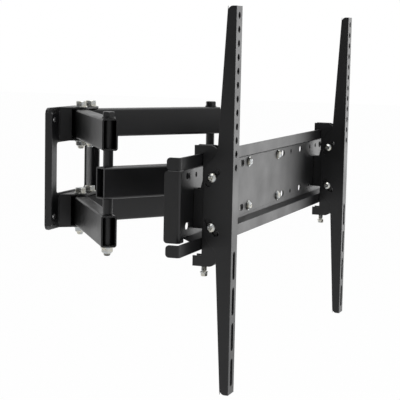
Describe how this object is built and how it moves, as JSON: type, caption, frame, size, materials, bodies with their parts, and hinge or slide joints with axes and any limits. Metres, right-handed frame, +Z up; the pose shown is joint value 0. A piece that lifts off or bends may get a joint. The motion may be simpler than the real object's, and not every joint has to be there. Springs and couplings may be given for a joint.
{
  "type": "full motion TV wall mount",
  "caption": "Full motion wall mount for a flat screen, with folding tube arms on a wall plate, a swivelling and levelling crossbar, and sliding, tilting screen rails.",
  "frame": {"origin": "centre of the wall plate's back face", "axes": "+X to the right seen from the front, +Y into the wall, +Z up; the screen faces -Y"},
  "size_m": [0.65, 0.3199, 0.4275],
  "materials": {
    "black_coat": "satin powder coat",
    "zinc_plate": "bright zinc plate"
  },
  "bodies": {
    "wall": {"wall_plate": "black_coat", "upper_wall_bracket": "black_coat", "lower_wall_bracket": "black_coat", "wall_pivot_bolts": "zinc_plate", "wall_pivot_washers": "zinc_plate", "wall_pivot_nuts": "zinc_plate"},
    "arm_left": {"left_upper_arm": "black_coat", "left_lower_arm": "black_coat", "left_arm_sleeves": "black_coat", "left_elbow_bolt": "black_coat", "left_elbow_spacers": "black_coat", "left_elbow_head_washer": "black_coat", "left_elbow_nut_washer": "zinc_plate", "left_elbow_nut": "zinc_plate"},
    "arm_right": {"right_upper_arm": "black_coat", "right_lower_arm": "black_coat", "right_arm_sleeves": "black_coat", "right_elbow_bolt": "black_coat", "right_elbow_spacers": "black_coat", "right_elbow_head_washer": "black_coat", "right_elbow_nut_washer": "zinc_plate", "right_elbow_nut": "zinc_plate"},
    "forearm_left_body": {"left_forearm": "black_coat", "left_forearm_sleeves": "black_coat"},
    "forearm_right_body": {"right_forearm": "black_coat", "right_forearm_sleeves": "black_coat"},
    "yoke": {"yoke_plates": "black_coat", "yoke_bolts": "zinc_plate", "yoke_washers": "zinc_plate", "yoke_nuts": "zinc_plate", "swivel_pins": "black_coat", "swivel_caps": "zinc_plate"},
    "head": {"head_bracket": "black_coat"},
    "bar": {"crossbar": "black_coat", "crossbar_bolts": "zinc_plate", "crossbar_washers": "zinc_plate", "crossbar_nuts": "zinc_plate"},
    "hook_left": {"left_hook_bracket": "black_coat", "left_lock_screw": "zinc_plate", "left_tilt_bolts": "zinc_plate", "left_tilt_washers": "zinc_plate", "left_tilt_nuts": "zinc_plate"},
    "tilting_left": {"left_rail": "black_coat"},
    "hook_right": {"right_hook_bracket": "black_coat", "right_lock_screw": "zinc_plate", "right_tilt_bolts": "zinc_plate", "right_tilt_washers": "zinc_plate", "right_tilt_nuts": "zinc_plate"},
    "tilting_right": {"right_rail": "black_coat"}
  },
  "joints": [
    {"name": "arm_fold", "type": "hinge", "parent": "wall", "child": "arm_left", "pos_m": [-0.015, -0.023, 0], "axis": [0, 0, 1], "range_deg": [-8.5, 35.5]},
    {"name": "left_elbow", "type": "hinge", "parent": "arm_left", "child": "forearm_left_body", "pos_m": [-0.17983, -0.13628, 0], "axis": [0, 0, 1], "range_deg": [-71, 17]},
    {"name": "left_head_pivot", "type": "hinge", "parent": "forearm_left_body", "child": "yoke", "pos_m": [-0.015, -0.24956, 0], "axis": [0, 0, 1], "range_deg": [-8.5, 35.5]},
    {"name": "right_arm", "type": "hinge", "parent": "wall", "child": "arm_right", "pos_m": [0.015, -0.023, 0], "axis": [0, 0, 1], "range_deg": [-35.5, 8.5]},
    {"name": "right_elbow", "type": "hinge", "parent": "arm_right", "child": "forearm_right_body", "pos_m": [0.17983, -0.13628, 0], "axis": [0, 0, 1], "range_deg": [-17, 71]},
    {"name": "head_swivel", "type": "hinge", "parent": "yoke", "child": "head", "pos_m": [0, -0.24956, 0], "axis": [0, 0, 1], "range_deg": [-20, 20]},
    {"name": "level", "type": "hinge", "parent": "head", "child": "bar", "pos_m": [0, -0.27156, -0.0041], "axis": [0, 1, 0], "range_deg": [-3, 3]},
    {"name": "left_bracket_slide", "type": "slide", "parent": "bar", "child": "hook_left", "axis": [1, 0, 0], "range_m": [-0.05, 0.15]},
    {"name": "right_bracket_slide", "type": "slide", "parent": "bar", "child": "hook_right", "axis": [1, 0, 0], "range_m": [-0.15, 0.05]},
    {"name": "left_tilt", "type": "hinge", "parent": "hook_left", "child": "tilting_left", "pos_m": [-0.25, -0.33186, -0.006], "axis": [1, 0, 0], "range_deg": [-10, 10]},
    {"name": "right_tilt", "type": "hinge", "parent": "hook_right", "child": "tilting_right", "pos_m": [0.25, -0.33186, -0.006], "axis": [1, 0, 0], "range_deg": [-10, 10]}
  ],
  "couplings": [
    {"joint": "left_elbow", "follows": "arm_fold", "ratio": -2},
    {"joint": "left_head_pivot", "follows": "arm_fold", "ratio": 1},
    {"joint": "right_arm", "follows": "arm_fold", "ratio": -1},
    {"joint": "right_elbow", "follows": "arm_fold", "ratio": 2},
    {"joint": "right_tilt", "follows": "left_tilt", "ratio": 1}
  ]
}
